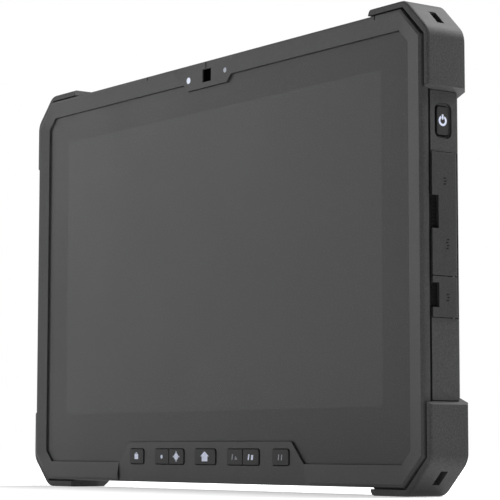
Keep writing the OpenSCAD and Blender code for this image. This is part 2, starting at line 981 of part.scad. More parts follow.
// The outer shape of a connector on the right side, flush with port_x
module port_body(z, w, h) {
    block([port_inner, port_y - w / 2, z - h / 2], [port_x, port_y + w / 2, z + h / 2]);
}

module usb_port(z) {
    difference() {
        port_body(z, usb_w, usb_h);
        block([port_inner + 1, port_y - usb_w / 2 + 0.4, z - usb_h / 2 + 0.4],
            [port_x + 1, port_y + usb_w / 2 - 0.4, z + usb_h / 2 - 0.4]);
    }
    block([port_inner + 1 - eps, port_y - 0.2, z - usb_h / 2 + 1.2],
        [port_x - 0.4, port_y + 1.8, z + usb_h / 2 - 1.2]);
}

module usb_ports() {
    color([0.7, 0.7, 0.72])
        for (z = usb_zs)
            usb_port(z);
}

module video_port() {
    color([0.7, 0.7, 0.72])
        difference() {
            port_body(video_z, 5, 12);
            block([port_inner + 2, port_y - 2.1, video_z - 5.5],
                [port_x + 1, port_y + 2.1, video_z + 5.5]);
        }
}

module audio_jack() {
    color([0.05, 0.05, 0.05])
        translate([port_inner, port_y, jack_z])
            rotate([0, 90, 0])
                difference() {
                    cylinder(r = jack_r, h = port_x - port_inner);
                    translate([0, 0, 1])
                        cylinder(r = 1.75, h = port_x);
                }
}

module power_inlet() {
    color([0.05, 0.05, 0.05])
        on_side(-1)
            translate([port_inner, port_y, inlet_z])
                rotate([0, 90, 0]) {
                    difference() {
                        cylinder(r = 3.6, h = port_x - port_inner);
                        translate([0, 0, 1])
                            cylinder(r = 2.75, h = port_x);
                    }
                    cylinder(r = 1, h = port_x - port_inner - 1);
                }
}

module card_slot() {
    color([0.7, 0.7, 0.72])
        on_side(-1)
            difference() {
                port_body(card_z, 4, 14);
                block([port_inner + 1, port_y - 0.6, card_z - 5.6],
                    [port_x + 1, port_y + 0.6, card_z + 5.6]);
            }
}

// The holes for the connectors in the bays' inner walls
module port_holes() {
    for (z = usb_zs)
        port_body(z, usb_w, usb_h);
    port_body(video_z, 5, 12);
    on_side(-1)
        port_body(card_z, 4, 14);
    translate([port_inner, port_y, jack_z])
        rotate([0, 90, 0])
            cylinder(r = jack_r, h = port_x - port_inner);
    on_side(-1)
        translate([port_inner, port_y, inlet_z])
            rotate([0, 90, 0])
                cylinder(r = 3.6, h = port_x - port_inner);
}

// ---- Electronics ----

board_y0 = -2.6;
board_t = 1.6;

module mainboard() {
    color([0.05, 0.3, 0.15])
        middle_block(124, board_y0, board_y0 + board_t, 100, 168);
}

module heat_spreader() {
    color([0.72, 0.45, 0.3])
        block([-60, board_y0 + board_t, 104], [60, board_y0 + board_t + 1, 134]);
}

module storage_module() {
    color([0.1, 0.1, 0.35])
        block([70, board_y0 + board_t, 104], [92, board_y0 + board_t + 3, 164]);
}

module wireless_module() {
    color([0.75, 0.76, 0.78])
        block([-92, board_y0 + board_t, 110], [-70, board_y0 + board_t + 2.4, 140]);
}

module speaker_units() {
    color([0.08, 0.08, 0.08])
        for (side = [-1, 1])
            on_side(side)
                difference() {
                    block([speaker_x - 11, 3.5, speaker_z - 11], [speaker_x + 11, y_floor, speaker_z + 11]);
                    block([speaker_x - 9.5, y_floor - 1, speaker_z - 9.5],
                        [speaker_x + 9.5, y_floor + 1, speaker_z + 9.5]);
                }
}

module antennas() {
    color([0.8, 0.7, 0.4])
        for (side = [-1, 1])
            on_side(side)
                block([52, -1, z_high - wall - 2.5], [92, 5, z_high - wall - 1.5]);
}

// ---- Batteries ----

module battery(x) {
    edge = 1.5;
    y1 = battery_y0 + battery_d;
    z0 = battery_z - battery_h / 2;
    z1 = battery_z + battery_h / 2;
    left = x - battery_w / 2;
    right = x + battery_w / 2;
    difference() {
        block([left, battery_y0, z0], [right, y1, z1]);
        // Chamfer where the cover meets the bay's rim
        for (z = [z0, z1])
            translate([left - 1, y1, z])
                rotate([45, 0, 0])
                    translate([0, -edge / 2, -edge / 2])
                        cube([battery_w + 2, edge, edge]);
        // Thumb hollow
        block([x - 14, y1 - 1.6, z1 - 9], [x + 14, y1 + 1, z1 - 3]);
    }
}

module battery_left() {
    color([0.18, 0.18, 0.19])
        battery(-battery_x);
}

module battery_right() {
    color([0.18, 0.18, 0.19])
        battery(battery_x);
}

module contact_block(x) {
    block([x - 12, battery_y0 - 0.1 - tray_t - 1, battery_z - 26],
        [x + 12, battery_y0 - 0.1, battery_z - 20]);
}

module battery_contacts() {
    color([0.85, 0.7, 0.3])
        for (side = [-1, 1])
            contact_block(side * battery_x);
}

// A thumb slide with ribs, and a stem that the housing holds
module battery_latch(side) {
    ribs = 5;
    on_side(side)
        difference() {
            union() {
                block([battery_x - latch_w / 2, latch_y0, latch_z - latch_h / 2],
                    [battery_x + latch_w / 2, y_back, latch_z + latch_h / 2]);
                block([battery_x - 3, latch_y0 - 3.2, latch_z - 1.5],
                    [battery_x + 3, latch_y0 + eps, latch_z + 1.5]);
                block([battery_x - 5, latch_y0 - 4.2, latch_z - 3],
                    [battery_x + 5, latch_y0 - 3.2 + eps, latch_z + 3]);
            }
            for (i = [0:ribs])
                block([battery_x + (i - ribs / 2) * grip_pitch - 0.5, y_back - 0.8,
                    latch_z - latch_h / 2 + 1.2],
                    [battery_x + (i - ribs / 2) * grip_pitch + 0.5, y_back + 1,
                    latch_z + latch_h / 2 - 1.2]);
        }
}

module battery_latch_left() {
    color([0.5, 0.12, 0.1])
        battery_latch(-1);
}

module battery_latch_right() {
    color([0.5, 0.12, 0.1])
        battery_latch(1);
}

// ---- Rear fittings ----

module mount_inserts() {
    color([0.75, 0.6, 0.3])
        each_mount_hole()
            difference() {
                y_rod(0, 0, insert_r, y_back - insert_l, y_back - 0.1);
                y_rod(0, 0, mount_r, y_back - insert_l + 0.6, y_back + 1);
            }
}

module dock_connector() {
    contacts = 12;
    pitch = 3.2;
    color([0.05, 0.05, 0.05])
        difference() {
            middle_block(dock_half, dock_y0, dock_y1, z_low + 1.2, z_low + wall + 1);
            for (i = [0:contacts - 1])
                block([(i - (contacts - 1) / 2) * pitch - 0.7, dock_y0 + 1, z_low],
                    [(i - (contacts - 1) / 2) * pitch + 0.7, dock_y1 - 1, z_low + 1.7]);
        }
}

module rear_camera() {
    color([0.03, 0.03, 0.04]) {
        y_rod(rear_camera_x, rear_camera_z, rear_camera_r, y_floor - eps, y_back - 0.5);
        block([rear_camera_x - 6, y_floor - 5, rear_camera_z - 6],
            [rear_camera_x + 6, y_floor, rear_camera_z + 6]);
    }
}

module flash_light() {
    color([0.95, 0.95, 0.85])
        y_rod(flash_x, rear_camera_z, flash_r, y_floor - 1.5, y_back - 0.3);
}

front_bezel();
touch_glass();
screen_gasket();
lcd_panel();
backlight_unit();
mid_frame();
perimeter_seal();
side_frame();
rear_housing();
right_port_bay();
left_port_bay();
bumper_top_left();
bumper_top_right();
bumper_bottom_left();
bumper_bottom_right();
bumper_screws();
housing_screws();
function_key_1();
volume_down_key();
volume_up_key();
home_key();
function_key_2();
function_key_3();
function_key_4();
keypad_membrane();
keypad_board();
power_button();
power_switch();
front_camera();
camera_window();
status_light();
light_sensor();
long_port_door();
long_door_seal();
short_port_door();
short_door_seal();
right_door_pin();
left_port_door();
left_door_seal();
left_door_pin();
usb_ports();
video_port();
audio_jack();
power_inlet();
card_slot();
mainboard();
heat_spreader();
storage_module();
wireless_module();
speaker_units();
antennas();
battery_left();
battery_right();
battery_contacts();
battery_latch_left();
battery_latch_right();
mount_inserts();
dock_connector();
rear_camera();
flash_light();
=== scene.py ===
"""Looks of the rugged tablet data collector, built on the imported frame. Metres, +Z up, screen to -Y."""

import math

import bmesh
import bpy
from mathutils import Matrix, Vector


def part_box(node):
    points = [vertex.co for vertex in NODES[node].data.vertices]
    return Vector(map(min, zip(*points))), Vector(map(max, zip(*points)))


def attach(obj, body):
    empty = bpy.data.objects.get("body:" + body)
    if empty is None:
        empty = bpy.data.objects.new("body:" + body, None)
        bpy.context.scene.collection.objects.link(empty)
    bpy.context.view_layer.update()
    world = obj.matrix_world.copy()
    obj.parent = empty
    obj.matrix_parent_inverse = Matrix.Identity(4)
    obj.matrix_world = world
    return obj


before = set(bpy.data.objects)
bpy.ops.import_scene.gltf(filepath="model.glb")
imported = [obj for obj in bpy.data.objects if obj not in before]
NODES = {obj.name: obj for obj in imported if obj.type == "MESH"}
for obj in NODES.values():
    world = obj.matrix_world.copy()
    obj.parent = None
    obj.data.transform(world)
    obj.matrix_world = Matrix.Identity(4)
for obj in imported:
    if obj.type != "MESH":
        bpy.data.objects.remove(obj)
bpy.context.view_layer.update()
MM = 0.001

# ---------------------------------------------------------------- camera
# Fitted to the photograph: where the camera is, how it is turned in degrees, and its lens
EYE = Vector((0.767, -0.5533, 0.0201))
HEADING, LIFT, ROLL = 53.46, 5.72, -0.06
SENSOR_MM, LENS_MM = 36.0, 142.34


def turned(angle, axis):
    return Matrix.Rotation(math.radians(angle), 4, axis)


cam_data = bpy.data.cameras.new("camera")
cam_data.sensor_width = SENSOR_MM
cam_data.lens = LENS_MM
cam_data.clip_start = 0.01
cam_data.clip_end = 50.0
camera = bpy.data.objects.new("camera", cam_data)
aim = turned(HEADING, "Z") @ turned(LIFT, "X") @ turned(ROLL, "Y") @ turned(90, "X")
camera.matrix_world = Matrix.Translation(EYE) @ aim
bpy.context.scene.collection.objects.link(camera)
bpy.context.scene.camera = camera
bpy.context.scene.view_settings.view_transform = "Standard"


# ---------------------------------------------------------------- node helpers
class Nodes:
    """A material's node tree, with short calls to add and join nodes."""

    def __init__(self, name):
        self.mat = bpy.data.materials.new(name)
        self.mat.use_nodes = True
        self.tree = self.mat.node_tree
        self.bsdf = self.tree.nodes["Principled BSDF"]
        self.coords = self.add("ShaderNodeTexCoord").outputs["Object"]

    def add(self, kind, **values):
        node = self.tree.nodes.new(kind)
        for key, value in values.items():
            setattr(node, key, value)
        return node

    def link(self, a, b):
        self.tree.links.new(a, b)

    def noise(self, scale, detail=2.0, rough=0.5, stretch=None):
        node = self.add("ShaderNodeTexNoise")
        node.inputs["Scale"].default_value = scale
        node.inputs["Detail"].default_value = detail
        node.inputs["Roughness"].default_value = rough
        source = self.coords
        if stretch is not None:
            mapping = self.add("ShaderNodeMapping")
            mapping.inputs["Scale"].default_value = stretch
            self.link(source, mapping.inputs["Vector"])
            source = mapping.outputs["Vector"]
        self.link(source, node.inputs["Vector"])
        return node.outputs["Fac"]

    def spots(self, scale):
        node = self.add("ShaderNodeTexVoronoi")
        node.inputs["Scale"].default_value = scale
        self.link(self.coords, node.inputs["Vector"])
        return node.outputs["Distance"]

    def remap(self, value, low, high, to_low, to_high):
        node = self.add("ShaderNodeMapRange")
        for name, number in (("From Min", low), ("From Max", high),
                             ("To Min", to_low), ("To Max", to_high)):
            node.inputs[name].default_value = number
        self.link(value, node.inputs["Value"])
        return node.outputs["Result"]

    def math(self, operation, a, b):
        node = self.add("ShaderNodeMath", operation=operation)
        for slot, value in ((0, a), (1, b)):
            if isinstance(value, (int, float)):
                node.inputs[slot].default_value = value
            else:
                self.link(value, node.inputs[slot])
        return node.outputs[0]

    def vector(self, operation, a, b=None):
        node = self.add("ShaderNodeVectorMath", operation=operation)
        self.link(a, node.inputs[0])
        if b is not None:
            node.inputs[1].default_value = b
        return node.outputs[0]

    def mix(self, factor, a, b):
        node = self.add("ShaderNodeMix", data_type="RGBA")
        self.link(factor, node.inputs["Factor"])
        for slot, value in ((6, a), (7, b)):
            if isinstance(value, tuple):
                node.inputs[slot].default_value = (*value, 1.0)
            else:
                self.link(value, node.inputs[slot])
        return node.outputs[2]

    def bump(self, height, strength, distance):
        node = self.add("ShaderNodeBump")
        node.inputs["Strength"].default_value = strength
        node.inputs["Distance"].default_value = distance
        self.link(height, node.inputs["Height"])
        self.link(node.outputs["Normal"], self.bsdf.inputs["Normal"])

    def edges(self, radius):
        """1 on edges and 0 on flats, from how far a rounded normal leans off the true one."""
        bevel = self.add("ShaderNodeBevel", samples=6)
        bevel.inputs["Radius"].default_value = radius
        true = self.add("ShaderNodeNewGeometry")
        dot = self.add("ShaderNodeVectorMath", operation="DOT_PRODUCT")
        self.link(bevel.outputs["Normal"], dot.inputs[0])
        self.link(true.outputs["Normal"], dot.inputs[1])
        return self.remap(dot.outputs["Value"], 0.99, 0.82, 0.0, 1.0)

    def colour(self, socket):
        self.link(socket, self.bsdf.inputs["Base Color"])

    def roughness(self, socket):
        self.link(socket, self.bsdf.inputs["Roughness"])


# How far rubbed wear reaches from an edge, and how much paler it is there
WEAR_WIDTH = 0.5 * MM
WEAR_GAIN = 2.6
# How deep moulded grain is, and how dark and pale its specks are beside the base tone
GRAIN_DEPTH = 0.08 * MM
GRAIN_DARK, GRAIN_PALE = 0.5, 1.5


def grey(value, tint=0.0):
    return (value, value, value * (1 + tint))


def moulded(name, base, rough, grain, bump, wear=0.35, specular=0.5, blotch=0.1, tint=0.02):
    """Matte moulded plastic or rubber: fine grain, blotches, and paler rubbed edges."""
    n = Nodes(name)
    fine = n.noise(grain, 3.0, 0.65)
    pits = n.spots(grain * 0.9)
    broad = n.noise(38.0, 3.0, 0.55)
    shade = n.remap(broad, 0.3, 0.7, 1 - blotch, 1 + blotch)
    speck = n.remap(fine, 0.34, 0.66, GRAIN_DARK, GRAIN_PALE)
    level = n.math("MULTIPLY", shade, speck)
    body = n.mix(n.remap(level, GRAIN_DARK, GRAIN_PALE, 0.0, 1.0),
                 grey(base * GRAIN_DARK, tint), grey(base * GRAIN_PALE, tint))
    patches = n.remap(n.noise(150.0, 4.0, 0.7), 0.42, 0.66, 0.15, 1.0)
    worn = n.math("MULTIPLY", n.math("MULTIPLY", n.edges(WEAR_WIDTH), patches), wear)
    n.colour(n.mix(worn, body, grey(base * WEAR_GAIN, tint)))
    vary = n.remap(fine, 0.3, 0.7, rough - 0.06, rough + 0.06)
    n.roughness(n.math("SUBTRACT", vary, n.math("MULTIPLY", worn, 0.12)))
    n.bsdf.inputs["Specular IOR Level"].default_value = specular
    n.bump(n.math("ADD", fine, n.math("MULTIPLY", pits, 0.5)), bump, GRAIN_DEPTH)
    return n.mat


def metal(name, base, rough, stretch, scale=260.0, bump=0.12):
    """Bare metal with drawn or rolled streaks."""
    n = Nodes(name)
    streak = n.noise(scale, 3.0, 0.6, stretch)
    dull = n.noise(90.0, 3.0, 0.6)
    dark = tuple(c * 0.78 for c in base)
    n.colour(n.mix(n.remap(dull, 0.3, 0.7, 0.0, 1.0), dark, base))
    n.roughness(n.remap(streak, 0.3, 0.7, rough - 0.08, rough + 0.1))
    n.bsdf.inputs["Metallic"].default_value = 1.0
    n.bump(streak, bump, 0.04 * MM)
    return n.mat


def smooth(name, base, rough, scale=500.0, spread=0.05, bump=0.04, alpha=1.0, specular=0.5):
    """Glossy or satin plastic and glass-like parts: faint haze and handling marks."""
    n = Nodes(name)
    haze = n.noise(scale, 3.0, 0.55)
    smear = n.noise(26.0, 4.0, 0.6)
    mottle = n.math("ADD", smear, haze)
    n.colour(n.mix(n.remap(mottle, 0.75, 1.25, 0.0, 1.0), tuple(c * 0.86 for c in base),
                   tuple(min(c * 1.14, 1.0) for c in base)))
    n.roughness(n.remap(smear, 0.3, 0.7, rough - spread, rough + spread))
    n.bump(haze, bump, 0.03 * MM)
    n.bsdf.inputs["Specular IOR Level"].default_value = specular
    n.bsdf.inputs["Alpha"].default_value = alpha
    return n.mat


def circuit(name):
    """Solder mask over faint copper tracks."""
    n = Nodes(name)
    tracks = n.add("ShaderNodeTexBrick")
    tracks.inputs["Scale"].default_value = 120.0
    tracks.inputs["Mortar Size"].default_value = 0.06
    upright = n.add("ShaderNodeMapping")
    upright.inputs["Rotation"].default_value = (math.pi / 2, 0.0, 0.0)
    n.link(n.coords, upright.inputs["Vector"])
    n.link(upright.outputs["Vector"], tracks.inputs["Vector"])
    n.colour(n.mix(tracks.outputs["Fac"], (0.012, 0.09, 0.035), (0.03, 0.16, 0.07)))
    n.roughness(n.remap(n.noise(400.0), 0.3, 0.7, 0.3, 0.45))
    n.bump(tracks.outputs["Fac"], 0.15, 0.05 * MM)
    return n.mat


def red_plastic(name):
    """Grained red plastic, for the battery latches."""
    n = Nodes(name)
    grain = n.noise(1500.0, 3.0, 0.6)
    n.colour(n.mix(n.remap(grain, 0.3, 0.7, 0.0, 1.0), (0.2, 0.02, 0.016), (0.31, 0.035, 0.026)))
    n.roughness(n.remap(grain, 0.3, 0.7, 0.4, 0.55))
    n.bump(grain, 0.3, 0.06 * MM)
    return n.mat


# ---------------------------------------------------------------- materials
SHELL = moulded("shell_plastic", 0.024, 0.6, 1700.0, 0.45, specular=0.4)
BEZEL = moulded("bezel_plastic", 0.022, 0.58, 1700.0, 0.4, specular=0.42)
RUBBER = moulded("bumper_rubber", 0.027, 0.68, 1250.0, 0.6, wear=0.28, specular=0.38)
DOOR = moulded("door_plastic", 0.0165, 0.62, 1700.0, 0.45, wear=0.3, specular=0.36)
KEY = moulded("key_plastic", 0.014, 0.6, 2100.0, 0.3, wear=0.3, specular=0.3)
# Near-black rubber of the real seals, gaskets and membrane; also painted shade, as the pads in the doors'
# pry notches and as the perimeter seal filling the body's seam
SEAL_AND_SHADE = moulded("seal_rubber", 0.004, 0.85, 900.0, 0.3, wear=0.0, specular=0.1)
PACK = moulded("battery_plastic", 0.025, 0.55, 1500.0, 0.5)
DARK = moulded("port_plastic", 0.014, 0.5, 1500.0, 0.2, wear=0.1)
LATCH = red_plastic("latch_plastic")
GLASS = smooth("cover_glass", grey(0.03), 0.42, 900.0, 0.05, 0.01, alpha=0.05, specular=0.5)
SCREEN = smooth("display", grey(0.031, 0.02), 0.46, 2200.0, 0.04, 0.02, specular=0.25)
INK = smooth("border_ink", grey(0.0255), 0.44, 1500.0, 0.04, 0.02, specular=0.205)
LENS = smooth("lens_black", grey(0.004), 0.18, 900.0, 0.04, 0.02, specular=0.3)
WINDOW = smooth("window_black", grey(0.001), 0.6, 900.0, 0.05, 0.02, specular=0.0)
LAMP = smooth("lamp_lens", (0.62, 0.66, 0.78), 0.3, 900.0, 0.06, 0.05)
SENSOR = smooth("sensor_lens", (0.22, 0.24, 0.29), 0.3, 900.0, 0.06, 0.05)
PRINT = smooth("print_white", (0.60, 0.64, 0.78), 0.5, 1600.0, 0.05, 0.05)
FAINT = smooth("print_faint", (0.21, 0.22, 0.25), 0.55, 1600.0, 0.05, 0.05)
MARK = smooth("door_mark", grey(0.006), 0.8, 1600.0, 0.05, 0.05, specular=0.15)
ALLOY = metal("frame_metal", (0.55, 0.56, 0.58), 0.42, (1.0, 1.0, 8.0))
STEEL = metal("bright_steel", (0.52, 0.52, 0.54), 0.3, (8.0, 1.0, 1.0))
BLACK_STEEL = metal("screw_black", (0.055, 0.055, 0.058), 0.4, (1.0, 1.0, 1.0))
COPPER = metal("copper", (0.62, 0.32, 0.2), 0.35, (1.0, 1.0, 8.0))
BRASS = metal("contact_brass", (0.66, 0.48, 0.2), 0.3, (1.0, 1.0, 1.0))
BOARD = circuit("board")

FINISH = {
    "front_bezel": BEZEL, "touch_glass": GLASS, "screen_gasket": SEAL_AND_SHADE, "lcd_panel": SCREEN,
    # The perimeter seal is a real part set nearly flush in the body's seam; its near-black rubber also
    # stands in for the seam's shade
    "backlight_unit": ALLOY, "mid_frame": ALLOY, "perimeter_seal": SEAL_AND_SHADE, "side_frame": SHELL,
    "rear_housing": SHELL, "right_port_bay": DARK, "left_port_bay": DARK,
    "bumper_top_left": RUBBER, "bumper_top_right": RUBBER, "bumper_bottom_left": RUBBER,
    "bumper_bottom_right": RUBBER, "bumper_screws": BLACK_STEEL, "housing_screws": BLACK_STEEL,
    "function_key_1": KEY, "function_key_2": KEY, "function_key_3": KEY, "home_key": KEY,
    "volume_down_key": KEY, "volume_up_key": KEY, "function_key_4": KEY, "keypad_membrane": SEAL_AND_SHADE,
    "keypad_board": BOARD, "power_button": KEY, "power_switch": BOARD, "front_camera": DARK,
    "camera_window": WINDOW, "status_light": LAMP, "light_sensor": SENSOR, "long_port_door": DOOR,
    "long_door_seal": SEAL_AND_SHADE, "short_port_door": DOOR, "short_door_seal": SEAL_AND_SHADE,
    "right_door_pin": STEEL, "left_port_door": DOOR, "left_door_seal": SEAL_AND_SHADE,
    "left_door_pin": STEEL, "usb_ports": STEEL, "video_port": STEEL, "audio_jack": DARK,
    "power_inlet": DARK, "card_slot": STEEL, "mainboard": BOARD, "heat_spreader": COPPER,
    "storage_module": BOARD, "wireless_module": ALLOY, "speaker_units": DARK, "antennas": BRASS,
    "battery_left": PACK, "battery_right": PACK, "battery_contacts": BRASS,
    "battery_latch_left": LATCH, "battery_latch_right": LATCH, "mount_inserts": BRASS,
    "dock_connector": DARK, "rear_camera": LENS, "flash_light": LAMP,
}

# Width in millimetres of the small rounding on each node's edges
ROUNDING = {
    "front_bezel": 0.25, "side_frame": 0.25, "rear_housing": 0.3,
    "bumper_top_left": 0.45, "bumper_top_right": 0.45,
    "bumper_bottom_left": 0.45, "bumper_bottom_right": 0.45, "long_port_door": 0.3,
    "short_port_door": 0.3, "left_port_door": 0.3, "power_button": 0.35, "battery_left": 0.4,
    "battery_right": 0.4, "battery_latch_left": 0.12, "battery_latch_right": 0.12,
    "function_key_1": 0.3, "function_key_2": 0.3, "function_key_3": 0.3, "home_key": 0.3,
    "volume_down_key": 0.3, "volume_up_key": 0.3, "function_key_4": 0.3, "housing_screws": 0.1,
    "bumper_screws": 0.1, "mount_inserts": 0.1, "dock_connector": 0.1, "usb_ports": 0.1,
    "video_port": 0.1, "card_slot": 0.1, "touch_glass": 0.12,
}
# Corners closer than this are one corner; faces flatter than FLAT_ANGLE are one face; edges
# sharper than EDGE_ANGLE are rounded. Angles in degrees
WELD_GAP = 0.004 * MM
FLAT_ANGLE = 0.6
EDGE_ANGLE = 24


def rounded(obj, width):
    """Joins the mesh's split corners, merges flat faces, then rounds its edges."""
    weld = obj.modifiers.new("weld", "WELD")
    weld.merge_threshold = WELD_GAP
    flat = obj.modifiers.new("flat", "DECIMATE")
    flat.decimate_type = "DISSOLVE"
    flat.angle_limit = math.radians(FLAT_ANGLE)
    bevel = obj.modifiers.new("round", "BEVEL")
    bevel.width = width * MM
    bevel.segments = 2
    bevel.limit_method = "ANGLE"
    bevel.angle_limit = math.radians(EDGE_ANGLE)
    bevel.use_clamp_overlap = True
    normals = obj.modifiers.new("normals", "WEIGHTED_NORMAL")
    normals.weight = 100
    normals.keep_sharp = False


for node_name, material in FINISH.items():
    node_obj = NODES[node_name]
    node_obj.data.materials.clear()
    node_obj.data.materials.append(material)
    if node_name in ROUNDING:
        node_obj.data.polygons.foreach_set("use_smooth", [True] * len(node_obj.data.polygons))
        rounded(node_obj, ROUNDING[node_name])


# ---------------------------------------------------------------- small pieces
def make(name, vertices, faces, material, body):
    mesh = bpy.data.meshes.new(name)
    mesh.from_pydata([tuple(v) for v in vertices], [], faces)
    work = bmesh.new()
    work.from_mesh(mesh)
    bmesh.ops.recalc_face_normals(work, faces=work.faces)
    work.to_mesh(mesh)
    work.free()
    mesh.materials.append(material)
    obj = bpy.data.objects.new(name, mesh)
    bpy.context.scene.collection.objects.link(obj)
    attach(obj, body)
    return obj


def on_front(x, z, y):
    """Places (u, v, height) of a mark on a face towards -Y, in millimetres about (x, z)."""
    return lambda u, v, h: Vector((x + u * MM, y - h * MM, z + v * MM))


def on_right(y, z, x, side=1):
    """The same on a face towards +X, or towards -X when side is -1."""
    return lambda u, v, h: Vector((x + side * h * MM, y + side * u * MM, z + v * MM))


def on_back(x, z, y):
    return lambda u, v, h: Vector((x - u * MM, y + h * MM, z + v * MM))


def marks(name, shapes, place, material, body, height=0.04, sink=0.05):
    """Raised outlines: each shape is a list of (u, v) points, or (outer, inner) lists for a ring."""
    vertices, faces = [], []
    for shape in shapes:
        if isinstance(shape, tuple):
            outer, inner = shape
            n = len(outer)
            first = len(vertices)
            for ring, h in ((outer, -sink), (outer, height), (inner, height), (inner, -sink)):
                vertices += [place(u, v, h) for u, v in ring]
            for k in range(3):
                for j in range(n):
                    a, b = first + k * n + j, first + k * n + (j + 1) % n
                    faces.append((a, b, b + n, a + n))
            for j in range(n):
                a, b = first + j, first + (j + 1) % n
                faces.append((a, a + 3 * n, b + 3 * n, b))
        else:
            n = len(shape)
            first = len(vertices)
            for h in (-sink, height):
                vertices += [place(u, v, h) for u, v in shape]
            faces.append(tuple(range(first, first + n)))
            faces.append(tuple(range(first + n, first + 2 * n)))
            for j in range(n):
                a, b = first + j, first + (j + 1) % n
                faces.append((a, b, b + n, a + n))
    return make(name, vertices, faces, material, body)


def bar(u0, v0, u1, v1):
    return [(u0, v0), (u1, v0), (u1, v1), (u0, v1)]


def lean(u, v0, v1, width, slant):
    return [(u, v0), (u + width, v0), (u + width + slant, v1), (u + slant, v1)]


def arc(radius, start, end, steps, cu=0.0, cv=0.0):
    return [(cu + radius * math.cos(math.radians(start + (end - start) * i / steps)),
             cv + radius * math.sin(math.radians(start + (end - start) * i / steps)))
            for i in range(steps + 1)]


def disc(radius, cu=0.0, cv=0.0, steps=16):
    return arc(radius, 0, 360, steps, cu, cv)[:-1]


def loop(radius, width, steps=24, cu=0.0, cv=0.0):
    return (disc(radius, cu, cv, steps), disc(radius - width, cu, cv, steps))


def open_arc(radius, width, start, end, steps=18, cu=0.0, cv=0.0):
    return arc(radius, start, end, steps, cu, cv) + arc(radius - width, end, start, steps, cu, cv)


def soft_box(half_u, half_v, r, steps=4):
    points = []
    for quarter, (su, sv) in enumerate(((1, 1), (-1, 1), (-1, -1), (1, -1))):
        points += arc(r, 90 * quarter, 90 * quarter + 90, steps, su * (half_u - r), sv * (half_v - r))
    return points


# Signs on the front keys: plain shapes
HOUSE = [(-2.3, -2.1), (2.3, -2.1), (2.3, 0.2), (3.5, 0.2), (0.0, 2.6), (-3.5, 0.2), (-2.3, 0.2)]
SIGNS = {
    "function_key_1": (PRINT, [soft_box(1.6, 1.35, 0.5), bar(-0.5, 1.6, 0.5, 2.0)]),
    "volume_down_key": (PRINT, [disc(0.95, 0.2, -0.1)]),
    "volume_up_key": (PRINT, [disc(1.7), bar(-2.7, -0.4, -2.0, 0.4), bar(2.0, -0.4, 2.7, 0.4),
                              bar(-0.45, 1.9, 0.45, 2.4), bar(-0.45, -2.4, 0.45, -1.9)]),
    "home_key": (PRINT, [HOUSE]),
    "function_key_2": (FAINT, [lean(-2.2, -1.3, 1.3, 0.8, 0.5), lean(0.4, -1.3, 0.2, 0.9, 0.3),
                               bar(1.6, -1.3, 2.3, -0.5)]),
    "function_key_3": (PRINT, [lean(-2.2, -1.3, 1.3, 0.9, 0.5), lean(0.3, -1.3, 1.0, 1.5, 0.3)]),
    "function_key_4": (FAINT, [lean(-1.6, -1.3, 1.3, 0.7, 0.4), lean(0.7, -1.3, 1.2, 0.7, 0.3)]),
}
for key_name, (ink, shapes) in SIGNS.items():
    low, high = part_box(key_name)
    place = on_front((low.x + high.x) / 2, (low.z + high.z) / 2, low.y)
    marks(key_name + "_sign", shapes, place, ink, key_name)

# Power button: a broken ring and a stroke
low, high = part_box("power_button")
place = on_right((low.y + high.y) / 2, (low.z + high.z) / 2, high.x)
marks("power_sign", [open_arc(2.25, 0.95, 118, 422), bar(-0.45, 0.5, 0.45, 2.7)], place, PRINT,
      "power_button")


# ---------------------------------------------------------------- display layers
# How far the film and the printed border lie in front of the panel's face
FILM_GAP = 0.02 * MM
PRINT_GAP = 0.04 * MM
# How much of the panel's edge the printed border hides
LIT_MARGIN = 4 * MM


def glass_outline():
    """The outline of the cover glass's back face, in order, as (x, z)."""
    work = bmesh.new()
    work.from_mesh(NODES["touch_glass"].data)
    bmesh.ops.remove_doubles(work, verts=work.verts, dist=WELD_GAP)
    back = max(v.co.y for v in work.verts)
    faces = [f for f in work.faces if all(abs(v.co.y - back) < 1e-6 for v in f.verts)]
    rim = [e for e in work.edges if sum(f in faces for f in e.link_faces) == 1]
    follow = {}
    for e in rim:
        a, b = e.verts
        follow.setdefault(a, []).append(b)
        follow.setdefault(b, []).append(a)
    first = next(iter(follow))
    order, before = [first], None
    while True:
        ahead = next(v for v in follow[order[-1]] if v != before)
        if ahead == first:
            break
        before = order[-1]
        order.append(ahead)
    outline = [(v.co.x, v.co.z) for v in order]
    work.free()
    return outline


def thin_sheet(name, sheet, material):
    mesh = bpy.data.meshes.new(name)
    sheet.to_mesh(mesh)
    sheet.free()
    mesh.materials.append(material)
    obj = bpy.data.objects.new(name, mesh)
    bpy.context.scene.collection.objects.link(obj)
    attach(obj, "housing")


def polariser_film():
    """The panel's front film. It keeps the panel's face from lying in the glass's back face."""
    low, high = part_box("lcd_panel")
    y = low.y - FILM_GAP
    sheet = bmesh.new()
    sheet.faces.new([sheet.verts.new(p) for p in ((low.x, y, low.z), (high.x, y, low.z),
                                                  (high.x, y, high.z), (low.x, y, high.z))])
    thin_sheet("polariser_film", sheet, SCREEN)


def border_print(margin):
    """A thin sheet behind the glass, sliced along the lit area's edges and opened there."""
    low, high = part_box("lcd_panel")
    y = low.y - PRINT_GAP
    left, right = low.x + margin, high.x - margin
    bottom, top = low.z + margin, high.z - margin
    sheet = bmesh.new()
    verts = [sheet.verts.new((x, y, z)) for x, z in glass_outline()]
    sheet.faces.new(verts)
    bmesh.ops.triangulate(sheet, faces=sheet.faces[:])
    for point, normal in (((left, y, 0), (1, 0, 0)), ((right, y, 0), (1, 0, 0)),
                          ((0, y, bottom), (0, 0, 1)), ((0, y, top), (0, 0, 1))):
        bmesh.ops.bisect_plane(sheet, geom=sheet.verts[:] + sheet.edges[:] + sheet.faces[:],
                               plane_co=point, plane_no=normal)
    lit = [f for f in sheet.faces if left < f.calc_center_median().x < right
           and bottom < f.calc_center_median().z < top]
    bmesh.ops.delete(sheet, geom=lit, context="FACES")
    thin_sheet("border_print", sheet, INK)


polariser_film()
border_print(LIT_MARGIN)


